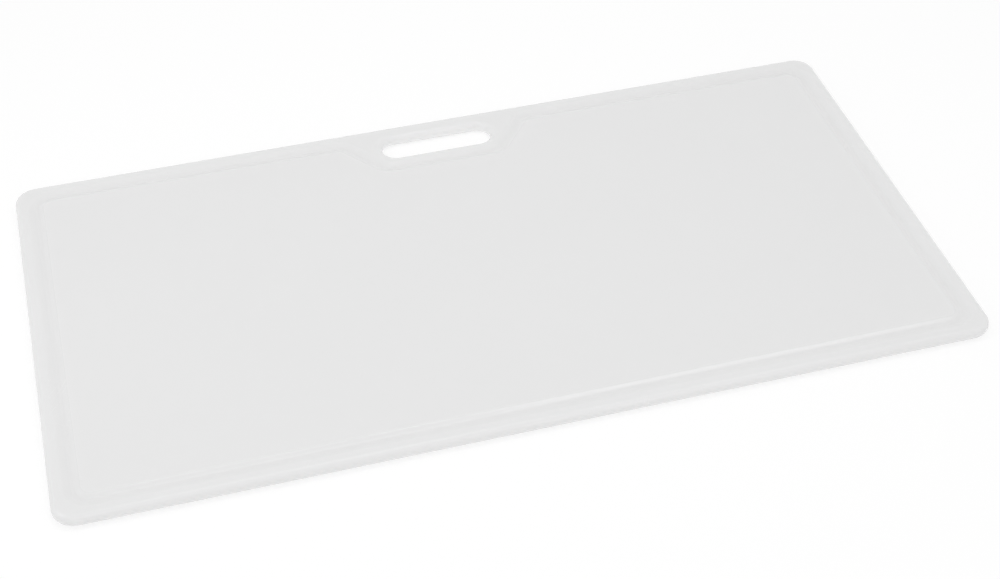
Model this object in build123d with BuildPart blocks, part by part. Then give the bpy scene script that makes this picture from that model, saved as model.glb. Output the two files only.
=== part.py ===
from build123d import *
from math import cos, radians, sin, tan
import os

# One-piece cutting board, in millimetres. It lies with its underside at Z = 0, its length along X
# and its hand slot in the middle of the rear (+Y) edge. The origin is the middle of the underside.

# Plate
length = 914.0
depth = 475.0
thickness = 12.7
corner_radius = 22.0
edge_flat = 0.3            # upright band left half way up, between the two edge roundings

# Hand slot, measured at its waist half way up the plate
slot_length = 122.0
slot_width = 32.0
bar_width = 21.5           # bar left between the slot and the rear edge

# Juice groove: a long shoulder down from the rim, a round floor, a wall up to the cutting surface
groove_depth = 2.5         # below the top of the rim
groove_floor_radius = 9.0
groove_turn = 17.0         # radius of its turns, along its deepest line
shoulder_slope = 19.0      # degrees from level, on the rim's side
shoulder_round = 9.0
wall_slope = 19.0          # degrees from level, on the cutting surface's side
surface_drop = 0.75        # the cutting surface lies this far below the top of the rim
surface_edge_round = 5.0

# Level bands on top of the rim, between the edge rounding and the groove's shoulder
rim_band = 4.6
web_band = 0.9             # in front of the slot, where the groove passes closest
end_band = 2.9             # beside the slot's half-round ends, where the groove's slopes pass them

# The groove's detour round the slot
detour_slope = 52.0        # degrees from the long edge, on the way in and out

# Edge rounding, and how far the groove reaches from its deepest line to the end of its shoulder
edge_round = (thickness - edge_flat) / 2
shoulder_angle = radians(shoulder_slope)
shoulder_rise = groove_depth - groove_floor_radius * (1 - cos(shoulder_angle))
shoulder_reach = groove_floor_radius * sin(shoulder_angle) + shoulder_rise / tan(shoulder_angle)
groove_reach = shoulder_reach + shoulder_round * tan(shoulder_angle / 2)

# Places, from the outline inwards
slot_centre_y = depth / 2 - bar_width - slot_width / 2
slot_front_y = slot_centre_y - slot_width / 2
slot_end_x = (slot_length - slot_width) / 2     # middle of its half-round end
groove_half_x = length / 2 - edge_round - rim_band - groove_reach
groove_half_y = depth / 2 - edge_round - rim_band - groove_reach
detour_y = slot_front_y - edge_round - web_band - groove_reach
rim_top = Plane.XY.offset(thickness)

# The detour's slope: a turn, a straight and a turn back, over the drop from the rear run. Measured
# square to the slope, its deepest line passes the middle of the slot's end at slope_distance.
detour_angle = radians(detour_slope)
slope_distance = slot_width / 2 + edge_round + end_band + groove_reach
slope_middle_y = (groove_half_y + detour_y) / 2
rise_to_slot = (slot_centre_y - slope_middle_y) * cos(detour_angle)
slope_middle_x = slot_end_x + (slope_distance - rise_to_slot) / sin(detour_angle)
turn_drop = groove_turn * (1 - cos(detour_angle))
slope_length = (groove_half_y - detour_y - 2 * turn_drop) / sin(detour_angle)
detour_start_x = slope_middle_x + slope_length * cos(detour_angle) / 2 + groove_turn * sin(detour_angle)

# The groove's deepest line seen from above: the right half, then its mirror image
with BuildLine() as groove_line:
    front_run = Line((0, -groove_half_y), (groove_half_x - groove_turn, -groove_half_y))
    front_turn = JernArc(front_run @ 1, front_run % 1, groove_turn, 90)
    side_run = Line(front_turn @ 1, (groove_half_x, groove_half_y - groove_turn))
    rear_turn = JernArc(side_run @ 1, side_run % 1, groove_turn, 90)
    rear_run = Line(rear_turn @ 1, (detour_start_x, groove_half_y))
    turn_in = JernArc(rear_run @ 1, rear_run % 1, groove_turn, detour_slope)
    slope_run = PolarLine(turn_in @ 1, slope_length, direction=turn_in % 1)
    turn_out = JernArc(slope_run @ 1, slope_run % 1, groove_turn, -detour_slope)
    web_run = Line(turn_out @ 1, (0, detour_y))
    mirror(about=Plane.YZ)

with BuildPart() as board:
    # Plate with its hand slot
    with BuildSketch():
        RectangleRounded(length, depth, corner_radius)
        with Locations((0, slot_centre_y)):
            SlotOverall(slot_length, slot_width, mode=Mode.SUBTRACT)
    extrude(amount=thickness)
    edges_by_height = board.edges().group_by(Axis.Z)
    fillet(edges_by_height[0] + edges_by_height[-1], radius=edge_round)

    # Cutting surface, lowered below the rim inside the groove's line
    with BuildSketch(rim_top.offset(-surface_drop)):
        add(groove_line.line)
        make_face()
    extrude(amount=surface_drop, mode=Mode.SUBTRACT)

    # Groove, cut along its line
    cut_start = Plane(origin=(0, -groove_half_y, thickness), x_dir=(0, 1, 0), z_dir=(1, 0, 0))
    with BuildSketch(cut_start):
        with BuildLine():
            floor = CenterArc((0, groove_floor_radius - groove_depth), groove_floor_radius,
                              270 - shoulder_slope, shoulder_slope + wall_slope)
            shoulder = PolarLine(floor @ 0, groove_depth / sin(shoulder_angle), direction=-(floor % 0))
            wall = PolarLine(floor @ 1, groove_depth / sin(radians(wall_slope)), direction=floor % 1)
            Line(shoulder @ 1, wall @ 1)
        make_face()
    sweep(path=groove_line.wires()[0], mode=Mode.SUBTRACT)
    cut_edges = board.edges(Select.LAST)
    surface_height = thickness - surface_drop
    shoulder_edges = cut_edges.filter_by_position(Axis.Z, thickness, thickness)
    surface_edges = cut_edges.filter_by_position(Axis.Z, surface_height, surface_height)
    fillet(shoulder_edges, radius=shoulder_round)
    fillet(surface_edges, radius=surface_edge_round)

os.makedirs("parts", exist_ok=True)
board.part.label = "board"
export_step(board.part, "parts/board.step")
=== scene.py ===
import bpy
import bmesh
from bmesh.types import BMEdge, BMFace, BMVert
from math import ceil, copysign, cos, radians, sin
from mathutils import Matrix, Vector


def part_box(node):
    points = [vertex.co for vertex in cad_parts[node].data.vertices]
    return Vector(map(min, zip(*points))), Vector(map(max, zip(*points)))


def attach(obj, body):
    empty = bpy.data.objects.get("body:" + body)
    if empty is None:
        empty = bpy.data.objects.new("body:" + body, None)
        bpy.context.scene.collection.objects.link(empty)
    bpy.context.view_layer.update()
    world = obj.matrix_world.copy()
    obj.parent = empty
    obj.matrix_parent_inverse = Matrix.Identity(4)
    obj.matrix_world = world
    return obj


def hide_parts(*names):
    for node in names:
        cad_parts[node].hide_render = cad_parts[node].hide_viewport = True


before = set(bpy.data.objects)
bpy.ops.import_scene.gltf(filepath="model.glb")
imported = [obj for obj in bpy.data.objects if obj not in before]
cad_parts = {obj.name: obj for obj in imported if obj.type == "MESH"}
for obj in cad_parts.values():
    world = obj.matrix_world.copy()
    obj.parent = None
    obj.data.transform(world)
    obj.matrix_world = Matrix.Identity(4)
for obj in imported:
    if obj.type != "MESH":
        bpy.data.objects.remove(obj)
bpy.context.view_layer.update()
boardLow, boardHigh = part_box("board")
print("frame loaded, board", [round(side, 4) for side in boardHigh - boardLow])

# Sizes of the board in metres and degrees. Its length, depth and thickness come from the frame.
boardForm = {
    "cornerRadius": 0.022,
    "edgeFlat": 0.0003,  # upright band left between the two edge roundings
    "slotLength": 0.122,
    "slotWidth": 0.032,
    "barWidth": 0.0215,  # between the slot and the rear edge
    "grooveDepth": 0.0025,  # below the rim
    "grooveFloorRadius": 0.009,
    "grooveTurn": 0.017,  # radius of its turns in the plan, along its deepest line
    "shoulderSlope": 19,  # on the rim's side of the groove
    "shoulderRound": 0.009,
    "wallSlope": 19,  # on the cutting surface's side
    "surfaceDrop": 0.00075,  # from the rim down to the cutting surface
    "surfaceEdgeRound": 0.005,
    "rimBand": 0.0046,  # level band on the rim, between its edge and the groove
    "webBand": 0.0009,  # the same in front of the slot
    "endBand": 0.0029,  # and beside the slot's ends
    "detourSlope": 52,  # where the groove swings inwards round the slot
    "arcStep": 4,  # degrees between two edges of an arc
    "weldDistance": 0.00001,
    "levelWeight": 100,  # how firmly the level faces hold their own shading
}
slotCentreY = boardHigh.y - boardForm["barWidth"] - boardForm["slotWidth"] / 2
rimSlot, fieldSlot = 0, 1  # places of the two finishes among the board's materials


def pick(parts, kind):
    return [part for part in parts if isinstance(part, kind)]


def arcSteps(degrees):
    return ceil(abs(degrees) / boardForm["arcStep"])


# Directions of a heading in degrees: 0 is along +Y in a section and along +X in the plan
def sectionWay(heading):
    return Vector((0, cos(radians(heading)), sin(radians(heading))))


def planWay(heading):
    return Vector((cos(radians(heading)), sin(radians(heading)), 0))


# Draws a section in the X = 0 plane, from its first point on. Each stage is a straight length and
# then a turn in degrees at a radius.
def drawSection(bm, start, heading, stages):
    tip = bmesh.ops.create_vert(bm, co=start)["vert"][0]
    edges = []
    for length, turn, radius in stages:
        if length:
            grown = bmesh.ops.extrude_vert_indiv(bm, verts=[tip])
            tip = grown["verts"][0]
            bmesh.ops.translate(bm, verts=[tip], vec=sectionWay(heading) * length)
            edges += grown["edges"]
        if turn:
            centre = tip.co + sectionWay(heading + copysign(90, turn)) * radius
            known = set(bm.edges)
            spun = bmesh.ops.spin(
                bm, geom=[tip], cent=centre, axis=(1, 0, 0), angle=radians(turn),
                steps=arcSteps(turn))
            tip = pick(spun["geom_last"], BMVert)[0]
            edges += [edge for edge in bm.edges if edge not in known]
            heading += turn
    return edges


# Sweeps a section over the plan. The route starts at place and heads along +X, and its stages are
# lengths, turns and radii as above.
def sweepSection(bm, edges, place, stages):
    place = Vector(place)
    heading = 0
    for length, turn, radius in stages:
        if length:
            grown = bmesh.ops.extrude_edge_only(bm, edges=edges)["geom"]
            bmesh.ops.translate(bm, verts=pick(grown, BMVert), vec=planWay(heading) * length)
            edges = pick(grown, BMEdge)
            place += planWay(heading) * length
        if turn:
            centre = place + planWay(heading + copysign(90, turn)) * radius
            ends = dict.fromkeys(end for edge in edges for end in edge.verts)  # each once, in order
            spun = bmesh.ops.spin(
                bm, geom=edges + list(ends), cent=centre, axis=(0, 0, 1), angle=radians(turn),
                steps=arcSteps(turn))
            edges = pick(spun["geom_last"], BMEdge)
            place = centre + Matrix.Rotation(radians(turn), 3, "Z") @ (place - centre)
            heading += turn


# Stages of a full-round edge: two quarter turns with the upright band between them
def halfRound(radius, turn):
    return [(0, turn, radius), (boardForm["edgeFlat"], turn, radius)]


# Stages of the groove's section, and how far its shoulder reaches out from its deepest line
def grooveSection():
    form = boardForm
    shoulder, wall = radians(form["shoulderSlope"]), radians(form["wallSlope"])
    shoulderRounds = form["shoulderRound"] + form["grooveFloorRadius"]
    shoulderRun = (form["grooveDepth"] - shoulderRounds * (1 - cos(shoulder))) / sin(shoulder)
    wallRounds = form["grooveFloorRadius"] + form["surfaceEdgeRound"]
    wallRise = form["grooveDepth"] - form["surfaceDrop"] - wallRounds * (1 - cos(wall))
    stages = [
        (0, -form["shoulderSlope"], form["shoulderRound"]),
        (shoulderRun, form["shoulderSlope"] + form["wallSlope"], form["grooveFloorRadius"]),
        (wallRise / sin(wall), -form["wallSlope"], form["surfaceEdgeRound"]),
    ]
    return stages, shoulderRounds * sin(shoulder) + shoulderRun * cos(shoulder)


# Closes the flat areas at one height, with their holes left open
def fillLevel(bm, height, up):
    rim = [
        edge for edge in bm.edges if edge.is_boundary
        and all(abs(end.co.z - height) < boardForm["weldDistance"] for end in edge.verts)]
    filled = bmesh.ops.triangle_fill(
        bm, use_beauty=True, use_dissolve=False, edges=rim, normal=(0, 0, 1 if up else -1))
    return pick(filled["geom"], BMFace)


# Adds the left half, closes the flat areas and gives each face its finish
def closeBoard(bm, thickness):
    everything = bm.verts[:] + bm.edges[:] + bm.faces[:]
    weld = boardForm["weldDistance"]
    bmesh.ops.mirror(bm, geom=everything, axis="X", merge_dist=weld)
    bmesh.ops.remove_doubles(bm, verts=bm.verts[:], dist=weld)
    for face in bm.faces:
        face.material_index = rimSlot
    fillLevel(bm, thickness, True)
    field = fillLevel(bm, thickness - boardForm["surfaceDrop"], True)
    underside = fillLevel(bm, 0, False)
    for face in field + underside:
        face.material_index = fieldSlot
    bmesh.ops.recalc_face_normals(bm, faces=bm.faces[:])
    for face in bm.faces:
        face.smooth = True


def makeObject(name, bm):
    mesh = bpy.data.meshes.new(name)
    bm.to_mesh(mesh)
    bm.free()
    made = bpy.data.objects.new(name, mesh)
    bpy.context.scene.collection.objects.link(made)
    return made


# Builds the right half from the front's middle to the rear's, and mirrors it
def buildBoard():
    form = boardForm
    length, depth, thickness = boardHigh - boardLow
    edgeRound = (thickness - form["edgeFlat"]) / 2
    grooveStages, grooveReach = grooveSection()

    # Places in the plan, as in the solid
    slope = radians(form["detourSlope"])
    turn = form["grooveTurn"]
    slotFrontY = slotCentreY - form["slotWidth"] / 2
    slotEndX = (form["slotLength"] - form["slotWidth"]) / 2  # middle of its half-round end
    grooveInset = edgeRound + form["rimBand"] + grooveReach
    grooveHalfX = length / 2 - grooveInset
    grooveHalfY = depth / 2 - grooveInset
    detourY = slotFrontY - edgeRound - form["webBand"] - grooveReach
    slopeDistance = form["slotWidth"] / 2 + edgeRound + form["endBand"] + grooveReach
    slopeMiddleY = (grooveHalfY + detourY) / 2
    riseToSlot = (slotCentreY - slopeMiddleY) * cos(slope)
    slopeMiddleX = slotEndX + (slopeDistance - riseToSlot) / sin(slope)
    slopeLength = (grooveHalfY - detourY - 2 * turn * (1 - cos(slope))) / sin(slope)
    slopeHalfX = slopeLength * cos(slope) / 2 + turn * sin(slope)
    detourStartX = slopeMiddleX + slopeHalfX
    detourEndX = slopeMiddleX - slopeHalfX

    # Outer edge
    bm = bmesh.new()
    edgeStart = Vector((0, -depth / 2 + edgeRound, thickness))
    bullnose = drawSection(bm, edgeStart, 180, halfRound(edgeRound, 90))
    corner = form["cornerRadius"]
    sweepSection(bm, bullnose, (0, -depth / 2, 0), [
        (length / 2 - corner, 90, corner),
        (depth - 2 * corner, 90, corner),
        (length / 2 - corner, 0, 0)])

    # Wall of the hand slot
    slotStart = Vector((0, slotFrontY - edgeRound, thickness))
    slotWall = drawSection(bm, slotStart, 0, halfRound(edgeRound, -90))
    sweepSection(bm, slotWall, (0, slotFrontY, 0), [
        (slotEndX, 180, form["slotWidth"] / 2),
        (slotEndX, 0, 0)])

    # Juice groove: shoulder, floor and wall
    grooveStart = Vector((0, -grooveHalfY - grooveReach, thickness))
    groove = drawSection(bm, grooveStart, 0, grooveStages)
    sweepSection(bm, groove, (0, -grooveHalfY, 0), [
        (grooveHalfX - turn, 90, turn),
        (2 * grooveHalfY - 2 * turn, 90, turn),
        (grooveHalfX - turn - detourStartX, form["detourSlope"], turn),
        (slopeLength, -form["detourSlope"], turn),
        (detourEndX, 0, 0)])

    closeBoard(bm, thickness)
    openEdges = sum(1 for edge in bm.edges if not edge.is_manifold)
    print("board skin:", len(bm.faces), "faces,", openEdges, "open edges")
    return makeObject("boardSkin", bm)


boardSkin = buildBoard()
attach(boardSkin, "root")
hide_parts("board")

# The level faces are large, so they hold their own shading up to the roundings
shading = boardSkin.modifiers.new("levelShading", "WEIGHTED_NORMAL")
shading.weight = boardForm["levelWeight"]

# Camera at the photographed angle: angles in degrees, places in metres, the lens in millimetres
cameraPlace = {
    "azimuth": 15.68,
    "elevation": 42.94,
    "distance": 1.726,
    "target": (0.0038, -0.0468, 0.00635),
    "lens": 61.62,
    "sensorWidth": 36,
}


def placeCamera():
    azimuth, elevation = radians(cameraPlace["azimuth"]), radians(cameraPlace["elevation"])
    look = Vector((sin(azimuth) * cos(elevation), cos(azimuth) * cos(elevation), -sin(elevation)))
    cameraData = bpy.data.cameras.new("photoCamera")
    cameraData.lens = cameraPlace["lens"]
    cameraData.sensor_fit = "HORIZONTAL"
    cameraData.sensor_width = cameraPlace["sensorWidth"]
    camera = bpy.data.objects.new("photoCamera", cameraData)
    camera.location = Vector(cameraPlace["target"]) - look * cameraPlace["distance"]
    camera.rotation_euler = look.to_track_quat("-Z", "Y").to_euler()
    bpy.context.scene.collection.objects.link(camera)
    bpy.context.scene.camera = camera


placeCamera()
print("camera placed")

# Finishes of the white polyethylene, hardly used. Sizes and heights are in metres.
rimFinish = {
    "colour": (0.86, 0.86, 0.86, 1),
    "cloudSize": 0.09,
    "cloudSpread": 0.012,
    "roughness": 0.2,
    "roughnessSpread": 0.05,
    "grainSize": 0.0026,  # soft orange peel of a moulded edge
    "grainHeight": 0.000008,
    "scuffLength": 0.045,
    "scuffWidth": 0.0006,
    "scuffRoughness": 0.1,  # added where a hairline is
}
fieldFinish = {
    "colour": (0.86, 0.86, 0.86, 1),
    "cloudSize": 0.16,
    "cloudSpread": 0.01,
    "roughness": 0.48,
    "roughnessSpread": 0.06,
    "grainSize": 0.0011,  # fine pebbling that stops food from sliding
    "grainHeight": 0.00002,
    "scuffLength": 0.07,
    "scuffWidth": 0.0005,
    "scuffRoughness": 0.08,
}
# Share of the light that wanders in the plastic, and how deep in metres
glowThrough = {
    "weight": 0.5,
    "depth": 0.008,
}
# Make-up of the patterns. Sizes are shares of the size that the finish gives.
patterns = {
    "glossSize": 1 / 3,  # patches of uneven gloss, smaller than the clouds
    "mottleSize": 0.11,  # finer mottle in the clouds
    "mottleShare": 0.6,
    "pebbleSmoothness": 0.7,
    "peelSize": 1.7,  # slow sway in the pebbles' height
    "scuffAngles": (24, -57),  # degrees that the hairlines are turned from the board's length
    "scuffRise": (0.72, 0.8),  # noise at which a hairline starts and at which it is full
    "patchRise": (0.5, 0.7),  # the same for the patches that hold hairlines
    "scuffDepth": 0.5,  # in heights of the grain
}


def startGroup(name, inputs, outputs):
    group = bpy.data.node_groups.new(name, "ShaderNodeTree")
    for label, kind in inputs.items():
        group.interface.new_socket(
            name=label, in_out="INPUT", socket_type="NodeSocket" + kind)
    for label, kind in outputs.items():
        group.interface.new_socket(
            name=label, in_out="OUTPUT", socket_type="NodeSocket" + kind)
    given = group.nodes.new("NodeGroupInput").outputs
    result = group.nodes.new("NodeGroupOutput").inputs
    return group, given, result


# Links a socket, or sets a plain value
def feed(tree, value, socket):
    if isinstance(value, bpy.types.NodeSocket):
        tree.links.new(value, socket)
    else:
        socket.default_value = value


def addMath(tree, operation, first, second):
    node = tree.nodes.new("ShaderNodeMath")
    node.operation = operation
    feed(tree, first, node.inputs[0])
    feed(tree, second, node.inputs[1])
    return node.outputs[0]


# Object coordinates, counted in lengths of the given size
def sizedPlace(tree, size):
    place = tree.nodes.new("ShaderNodeTexCoord")
    sized = tree.nodes.new("ShaderNodeVectorMath")
    sized.operation = "SCALE"
    tree.links.new(place.outputs["Object"], sized.inputs[0])
    tree.links.new(addMath(tree, "DIVIDE", 1, size), sized.inputs["Scale"])
    return sized.outputs[0]


def addNoise(tree, place, detail):
    noise = tree.nodes.new("ShaderNodeTexNoise")
    noise.inputs["Scale"].default_value = 1
    noise.inputs["Detail"].default_value = detail
    tree.links.new(place, noise.inputs["Vector"])
    return noise.outputs["Fac"]


# Noise from 0 to 1 becomes a sway round 0 of the given spread
def addSway(tree, noise, spread):
    return addMath(tree, "MULTIPLY", addMath(tree, "SUBTRACT", noise, 0.5), spread)


# 0 below the low value, 1 above the high one, smooth between them
def addRise(tree, value, low, high):
    rise = tree.nodes.new("ShaderNodeMapRange")
    rise.interpolation_type = "SMOOTHSTEP"
    rise.inputs["From Min"].default_value = low
    rise.inputs["From Max"].default_value = high
    tree.links.new(value, rise.inputs["Value"])
    return rise.outputs["Result"]


# Faint uneven milkiness: broad clouds with a finer mottle in them
def makeClouding():
    group, given, result = startGroup(
        "clouding", {"Colour": "Color", "Size": "Float", "Spread": "Float"}, {"Colour": "Color"})
    broad = addNoise(group, sizedPlace(group, given["Size"]), detail=2)
    clouds = addSway(group, broad, given["Spread"])
    mottleSize = addMath(group, "MULTIPLY", given["Size"], patterns["mottleSize"])
    fine = addNoise(group, sizedPlace(group, mottleSize), detail=3)
    mottle = addSway(group, fine, given["Spread"])
    faintMottle = addMath(group, "MULTIPLY", mottle, patterns["mottleShare"])
    both = addMath(group, "ADD", clouds, faintMottle)
    tint = group.nodes.new("ShaderNodeVectorMath")
    tint.operation = "SCALE"
    group.links.new(given["Colour"], tint.inputs[0])
    group.links.new(addMath(group, "ADD", both, 1), tint.inputs["Scale"])
    group.links.new(tint.outputs[0], result["Colour"])
    return group


# Soft pebbles of the mould's own texture, uneven in height
def makePebbling():
    group, given, result = startGroup("pebbling", {"Size": "Float"}, {"Height": "Float"})
    pebbles = group.nodes.new("ShaderNodeTexVoronoi")
    pebbles.feature = "SMOOTH_F1"
    pebbles.inputs["Scale"].default_value = 1
    pebbles.inputs["Smoothness"].default_value = patterns["pebbleSmoothness"]
    group.links.new(sizedPlace(group, given["Size"]), pebbles.inputs["Vector"])
    crown = addMath(group, "SUBTRACT", 1, pebbles.outputs["Distance"])
    peelSize = addMath(group, "MULTIPLY", given["Size"], patterns["peelSize"])
    peel = addNoise(group, sizedPlace(group, peelSize), detail=2)
    swell = addMath(group, "ADD", peel, 0.5)  # noise round a half, so the mean height stays
    group.links.new(addMath(group, "MULTIPLY", crown, swell), result["Height"])
    return group


# Hairlines from handling: stretched noise in two directions, in patches only
def makeScuffs():
    group, given, result = startGroup(
        "scuffs", {"Length": "Float", "Width": "Float"}, {"Mask": "Float"})
    strokes = []
    for degrees in patterns["scuffAngles"]:
        turned = group.nodes.new("ShaderNodeMapping")
        turned.inputs["Rotation"].default_value = (0, 0, radians(degrees))
        place = group.nodes.new("ShaderNodeTexCoord")
        group.links.new(place.outputs["Object"], turned.inputs["Vector"])
        stretch = group.nodes.new("ShaderNodeCombineXYZ")
        for axis, size in (("X", "Length"), ("Y", "Width"), ("Z", "Length")):
            group.links.new(addMath(group, "DIVIDE", 1, given[size]), stretch.inputs[axis])
        drawn = group.nodes.new("ShaderNodeVectorMath")
        drawn.operation = "MULTIPLY"
        group.links.new(turned.outputs["Vector"], drawn.inputs[0])
        group.links.new(stretch.outputs[0], drawn.inputs[1])
        lines = addNoise(group, drawn.outputs[0], detail=0)
        strokes.append(addRise(group, lines, *patterns["scuffRise"]))
    spots = addNoise(group, sizedPlace(group, given["Length"]), detail=1)
    patches = addRise(group, spots, *patterns["patchRise"])
    both = addMath(group, "MAXIMUM", strokes[0], strokes[1])
    group.links.new(addMath(group, "MULTIPLY", both, patches), result["Mask"])
    return group


polyGroups = {"clouding": makeClouding(), "pebbling": makePebbling(), "scuffs": makeScuffs()}


def placeGroup(tree, name, values):
    node = tree.nodes.new("ShaderNodeGroup")
    node.node_tree = polyGroups[name]
    for label, value in values.items():
        feed(tree, value, node.inputs[label])
    return node.outputs[0]


def makePolyMaterial(name, finish):
    material = bpy.data.materials.new(name)
    material.use_nodes = True
    tree = material.node_tree
    shader = tree.nodes["Principled BSDF"]
    shader.inputs["Subsurface Weight"].default_value = glowThrough["weight"]
    shader.inputs["Subsurface Scale"].default_value = glowThrough["depth"]
    shader.inputs["Subsurface Radius"].default_value = (1, 1, 1)
    milk = placeGroup(tree, "clouding", {
        "Colour": finish["colour"], "Size": finish["cloudSize"], "Spread": finish["cloudSpread"]})
    tree.links.new(milk, shader.inputs["Base Color"])

    # Satin gloss that varies softly, and duller hairlines in it
    scuffs = placeGroup(tree, "scuffs", {
        "Length": finish["scuffLength"], "Width": finish["scuffWidth"]})
    glossPlace = sizedPlace(tree, finish["cloudSize"] * patterns["glossSize"])
    gloss = addSway(tree, addNoise(tree, glossPlace, detail=3), finish["roughnessSpread"])
    satin = addMath(tree, "ADD", gloss, finish["roughness"])
    dulled = addMath(tree, "MULTIPLY", scuffs, finish["scuffRoughness"])
    tree.links.new(addMath(tree, "ADD", satin, dulled), shader.inputs["Roughness"])

    # Grain, with the hairlines cut into it
    grain = placeGroup(tree, "pebbling", {"Size": finish["grainSize"]})
    cuts = addMath(tree, "MULTIPLY", scuffs, patterns["scuffDepth"])
    bump = tree.nodes.new("ShaderNodeBump")
    bump.inputs["Distance"].default_value = finish["grainHeight"]
    tree.links.new(addMath(tree, "SUBTRACT", grain, cuts), bump.inputs["Height"])
    tree.links.new(bump.outputs["Normal"], shader.inputs["Normal"])
    return material


boardSkin.data.materials.append(makePolyMaterial("polyRim", rimFinish))
boardSkin.data.materials.append(makePolyMaterial("polyField", fieldFinish))
print("finishes:", len(polyGroups), "pattern groups in", len(boardSkin.data.materials), "materials")

# Studio: a white floor that glows faintly, an even white surround and soft lamps
studio = {
    "floorSize": 12,
    "floorGap": 0.0004,  # under the board
    "floorColour": 0.8,
    "floorRoughness": 0.9,
    "floorGlow": 0.18,
    "floorShadow": 0.35,  # share of the floor's look that the shadow can take
    "floorLight": 0.9,  # how brightly the studio lights the floor where it has no shadow
    "surroundStrength": 0.708,
}
white = (1, 1, 1, 1)


# 1 for what the camera sees, straight or in a reflection or through glass, and 0 for other light
def cameraSeen(tree):
    path = tree.nodes.new("ShaderNodeLightPath").outputs
    seen = addMath(tree, "MAXIMUM", path["Is Camera Ray"], path["Is Glossy Ray"])
    return addMath(tree, "MAXIMUM", seen, path["Is Transmission Ray"])


# Shows one shader to other light and another to the camera
def showToCamera(tree, lit, shown, output):
    mix = tree.nodes.new("ShaderNodeMixShader")
    tree.links.new(cameraSeen(tree), mix.inputs["Fac"])
    tree.links.new(lit.outputs[0], mix.inputs[1])
    tree.links.new(shown.outputs[0], mix.inputs[2])
    tree.links.new(mix.outputs[0], tree.nodes[output].inputs["Surface"])


def makeFloor():
    bm = bmesh.new()
    bmesh.ops.create_grid(bm, x_segments=1, y_segments=1, size=studio["floorSize"] / 2)
    bmesh.ops.translate(bm, verts=bm.verts[:], vec=(0, 0, -studio["floorGap"]))
    floor = makeObject("studioFloor", bm)
    material = bpy.data.materials.new("studioFloor")
    material.use_nodes = True
    tree = material.node_tree
    plain = tree.nodes["Principled BSDF"]
    plain.inputs["Base Color"].default_value = (studio["floorColour"],) * 3 + (1,)
    plain.inputs["Roughness"].default_value = studio["floorRoughness"]
    plain.inputs["Emission Color"].default_value = white
    plain.inputs["Emission Strength"].default_value = studio["floorGlow"]

    # For the camera: plain white where the floor is fully lit, with the board's soft shadow
    shadowed = tree.nodes.new("ShaderNodeBsdfDiffuse")
    shadowed.inputs["Color"].default_value = (studio["floorShadow"],) * 3 + (1,)
    glow = tree.nodes.new("ShaderNodeEmission")
    glow.inputs["Strength"].default_value = 1 - studio["floorShadow"] * studio["floorLight"]
    look = tree.nodes.new("ShaderNodeAddShader")
    tree.links.new(shadowed.outputs[0], look.inputs[0])
    tree.links.new(glow.outputs[0], look.inputs[1])
    showToCamera(tree, plain, look, "Material Output")
    floor.data.materials.append(material)


def makeSurround():
    world = bpy.data.worlds.new("studioSurround")
    bpy.context.scene.world = world
    world.use_nodes = True
    tree = world.node_tree
    light = tree.nodes["Background"]
    light.inputs["Color"].default_value = white
    light.inputs["Strength"].default_value = studio["surroundStrength"]
    backdrop = tree.nodes.new("ShaderNodeBackground")
    backdrop.inputs["Color"].default_value = white
    backdrop.inputs["Strength"].default_value = 1
    showToCamera(tree, light, backdrop, "World Output")


# Soft lamps: places and sizes in metres, power in watts. A lamp without an aim looks at the
# board's middle. The top lamp hangs where neither long run of the groove mirrors it.
lamps = {
    "topLamp": {
        "place": (-0.1, 0.22, 1.4), "aim": (-0.1, 0.22, 0),
        "width": 0.8, "depth": 0.3, "power": 1.9},
    "leftLamp": {
        "place": (-1.05, -0.05, 0.8),
        "width": 0.4, "depth": 0.4, "power": 0.9},
    "stripLamp": {  # makes the highlight along the right half of the groove's front wall
        "place": (0.68, -0.1, 1.4), "aim": (0.68, -0.1, 0),
        "width": 0.9, "depth": 0.1, "power": 1.1},
    "frontLeftLamp": {
        "place": (-0.7, -1.3, 1.2),
        "width": 0.5, "depth": 0.5, "power": 1.2},
    "frontRightLamp": {
        "place": (0.5, -1.5, 1.1),
        "width": 0.5, "depth": 0.5, "power": 1.25},
    "slotLamp": {  # under the hand slot, it lights the slot's wall
        "place": (0, slotCentreY, -studio["floorGap"] / 2), "aim": (0, slotCentreY, 1),
        "width": boardForm["slotLength"], "depth": boardForm["slotWidth"], "power": 0.002},
}


def hangLamp(name, lamp):
    data = bpy.data.lights.new(name, "AREA")
    data.shape = "RECTANGLE"
    data.size = lamp["width"]
    data.size_y = lamp["depth"]
    data.energy = lamp["power"]
    light = bpy.data.objects.new(name, data)
    light.location = lamp["place"]
    aim = Vector(lamp.get("aim", (0, 0, 0))) - Vector(lamp["place"])
    light.rotation_euler = aim.to_track_quat("-Z", "Y").to_euler()
    bpy.context.scene.collection.objects.link(light)


makeFloor()
makeSurround()
for name, lamp in lamps.items():
    hangLamp(name, lamp)
bpy.context.scene.view_settings.view_transform = "Standard"
print("studio lit:", len(lamps), "lamps")
